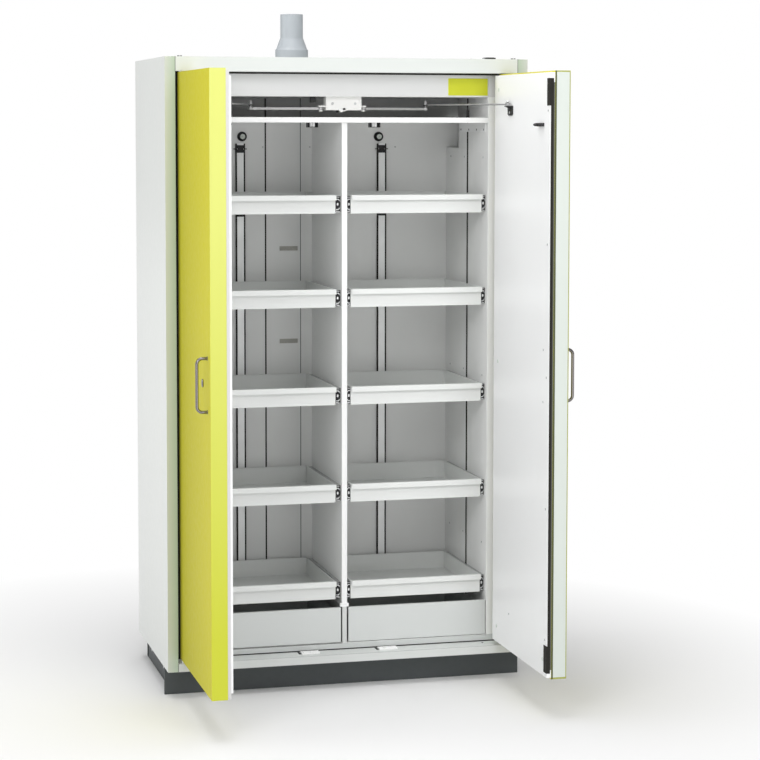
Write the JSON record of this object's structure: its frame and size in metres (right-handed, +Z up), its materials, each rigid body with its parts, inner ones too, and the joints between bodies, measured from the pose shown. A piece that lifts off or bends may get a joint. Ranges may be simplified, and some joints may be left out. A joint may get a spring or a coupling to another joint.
{
  "type": "fireproof safety cabinet",
  "caption": "Free-standing fire-resistant storage cabinet with hinged insulated doors, pull-out pan shelves, sump drawers and an exhaust spigot.",
  "frame": {"origin": "on the floor under the middle of the casing's width and depth", "axes": "+Z up, +X to the right seen from the front, +Y from the front to the back; doors open 90 degrees at rest"},
  "size_m": [1.197, 1.1675, 2.204],
  "materials": {
    "casing_white": "fine satin powder coat",
    "interior_white": "satin powder coat",
    "fire_board": "dry matt mineral fibre board",
    "plinth_anthracite": "matt powder coat",
    "zinc_steel": "zinc plated",
    "spigot_grey": "moulded plastic",
    "duct_grey": "satin",
    "black_plastic": "moulded plastic",
    "closer_white": "satin",
    "slide_steel": "zinc plated",
    "door_yellow": "smooth semi gloss powder coat",
    "door_inner_white": "smooth satin powder coat",
    "seal_black": "matt",
    "edge_white": "satin",
    "fitting_black": "satin black coat on zinc plated steel",
    "chrome": "polished",
    "tray_white": "satin powder coat",
    "sump_white": "satin powder coat"
  },
  "bodies": {
    "cabinet": {"side_cover_left": "casing_white", "side_cover_right": "casing_white", "top_cover": "casing_white", "rear_cover": "casing_white", "base_cover": "casing_white", "insulation_boards": "fire_board", "liner_panels": "interior_white", "front_frame": "casing_white", "top_board": "interior_white", "partition": "interior_white", "plinth_front": "plinth_anthracite", "plinth_frame": "plinth_anthracite", "levelling_feet": "zinc_steel", "exhaust_spigot": "spigot_grey", "air_ducts": "duct_grey", "duct_fittings": "black_plastic", "closer_housing": "closer_white", "hinge_pins": "zinc_steel", "door_catches": "black_plastic", "slide_rails": "slide_steel"},
    "door_left": {"door_skin_left": "door_yellow", "door_core_left": "fire_board", "door_pan_left": "door_inner_white", "door_handle_left": "chrome", "door_fittings_left": "fitting_black", "lock_body": "chrome"},
    "door_lock": {"lock_barrel": "zinc_steel"},
    "door_right": {"door_skin_right": "door_yellow", "door_core_right": "fire_board", "door_pan_right": "door_inner_white", "door_seal_right": "seal_black", "door_handle_right": "chrome", "door_fittings_right": "fitting_black", "door_edge_plate": "edge_white"},
    "closer_arm_left": {"closer_arm_left": "zinc_steel"},
    "closer_arm_right": {"closer_arm_right": "zinc_steel"},
    "closer_rod_left": {"closer_rod_left": "zinc_steel"},
    "closer_rod_right": {"closer_rod_right": "zinc_steel"},
    "pull_out_left_1": {"tray_left_1": "tray_white", "runner_left_1": "slide_steel"},
    "pull_out_left_2": {"tray_left_2": "tray_white", "runner_left_2": "slide_steel"},
    "pull_out_left_3": {"tray_left_3": "tray_white", "runner_left_3": "slide_steel"},
    "pull_out_left_4": {"tray_left_4": "tray_white", "runner_left_4": "slide_steel"},
    "pull_out_left_5": {"tray_left_5": "tray_white", "runner_left_5": "slide_steel"},
    "sump_left": {"sump_left": "sump_white"},
    "pull_out_right_1": {"tray_right_1": "tray_white", "runner_right_1": "slide_steel"},
    "pull_out_right_2": {"tray_right_2": "tray_white", "runner_right_2": "slide_steel"},
    "pull_out_right_3": {"tray_right_3": "tray_white", "runner_right_3": "slide_steel"},
    "pull_out_right_4": {"tray_right_4": "tray_white", "runner_right_4": "slide_steel"},
    "pull_out_right_5": {"tray_right_5": "tray_white", "runner_right_5": "slide_steel"},
    "sump_right": {"sump_right": "sump_white"}
  },
  "joints": [
    {"name": "door_left_hinge", "type": "hinge", "parent": "cabinet", "child": "door_left", "pos_m": [-0.55, -0.307, 0.13], "axis": [0, 0, -1], "range_deg": [-90, 0]},
    {"name": "door_right_hinge", "type": "hinge", "parent": "cabinet", "child": "door_right", "pos_m": [0.55, -0.307, 0.13], "axis": [0, 0, 1], "range_deg": [-90, 0]},
    {"name": "lock_turn", "type": "hinge", "parent": "door_left", "child": "door_lock", "pos_m": [-0.556, -0.73, 1.066], "axis": [-1, 0, 0], "range_deg": [0, 90]},
    {"name": "closer_arm_left_pivot", "type": "hinge", "parent": "cabinet", "child": "closer_arm_left", "pos_m": [-0.071, -0.203, 1.886], "axis": [0, 0, -1], "range_deg": [0, 67]},
    {"name": "closer_rod_left_pivot", "type": "hinge", "parent": "door_left", "child": "closer_rod_left", "pos_m": [-0.479, -0.474, 1.9], "axis": [0, 0, -1], "range_deg": [0, 106]},
    {"name": "closer_arm_right_pivot", "type": "hinge", "parent": "cabinet", "child": "closer_arm_right", "pos_m": [0.071, -0.203, 1.886], "axis": [0, 0, 1], "range_deg": [0, 67]},
    {"name": "closer_rod_right_pivot", "type": "hinge", "parent": "door_right", "child": "closer_rod_right", "pos_m": [0.479, -0.474, 1.9], "axis": [0, 0, 1], "range_deg": [0, 106]},
    {"name": "tray_left_1_slide", "type": "slide", "parent": "cabinet", "child": "pull_out_left_1", "axis": [0, -1, 0], "range_m": [0, 0.36]},
    {"name": "tray_left_2_slide", "type": "slide", "parent": "cabinet", "child": "pull_out_left_2", "axis": [0, -1, 0], "range_m": [0, 0.36]},
    {"name": "tray_left_3_slide", "type": "slide", "parent": "cabinet", "child": "pull_out_left_3", "axis": [0, -1, 0], "range_m": [0, 0.36]},
    {"name": "tray_left_4_slide", "type": "slide", "parent": "cabinet", "child": "pull_out_left_4", "axis": [0, -1, 0], "range_m": [0, 0.36]},
    {"name": "tray_left_5_slide", "type": "slide", "parent": "cabinet", "child": "pull_out_left_5", "axis": [0, -1, 0], "range_m": [0, 0.36]},
    {"name": "sump_left_slide", "type": "slide", "parent": "cabinet", "child": "sump_left", "axis": [0, -1, 0], "range_m": [0, 0.36]},
    {"name": "tray_right_1_slide", "type": "slide", "parent": "cabinet", "child": "pull_out_right_1", "axis": [0, -1, 0], "range_m": [0, 0.36]},
    {"name": "tray_right_2_slide", "type": "slide", "parent": "cabinet", "child": "pull_out_right_2", "axis": [0, -1, 0], "range_m": [0, 0.36]},
    {"name": "tray_right_3_slide", "type": "slide", "parent": "cabinet", "child": "pull_out_right_3", "axis": [0, -1, 0], "range_m": [0, 0.36]},
    {"name": "tray_right_4_slide", "type": "slide", "parent": "cabinet", "child": "pull_out_right_4", "axis": [0, -1, 0], "range_m": [0, 0.36]},
    {"name": "tray_right_5_slide", "type": "slide", "parent": "cabinet", "child": "pull_out_right_5", "axis": [0, -1, 0], "range_m": [0, 0.36]},
    {"name": "sump_right_slide", "type": "slide", "parent": "cabinet", "child": "sump_right", "axis": [0, -1, 0], "range_m": [0, 0.36]}
  ],
  "couplings": [
    {"joint": "closer_arm_left_pivot", "follows": "door_left_hinge", "ratio": -0.7349},
    {"joint": "closer_rod_left_pivot", "follows": "door_left_hinge", "ratio": -1.1679},
    {"joint": "closer_arm_right_pivot", "follows": "door_right_hinge", "ratio": -0.7349},
    {"joint": "closer_rod_right_pivot", "follows": "door_right_hinge", "ratio": -1.1679}
  ]
}
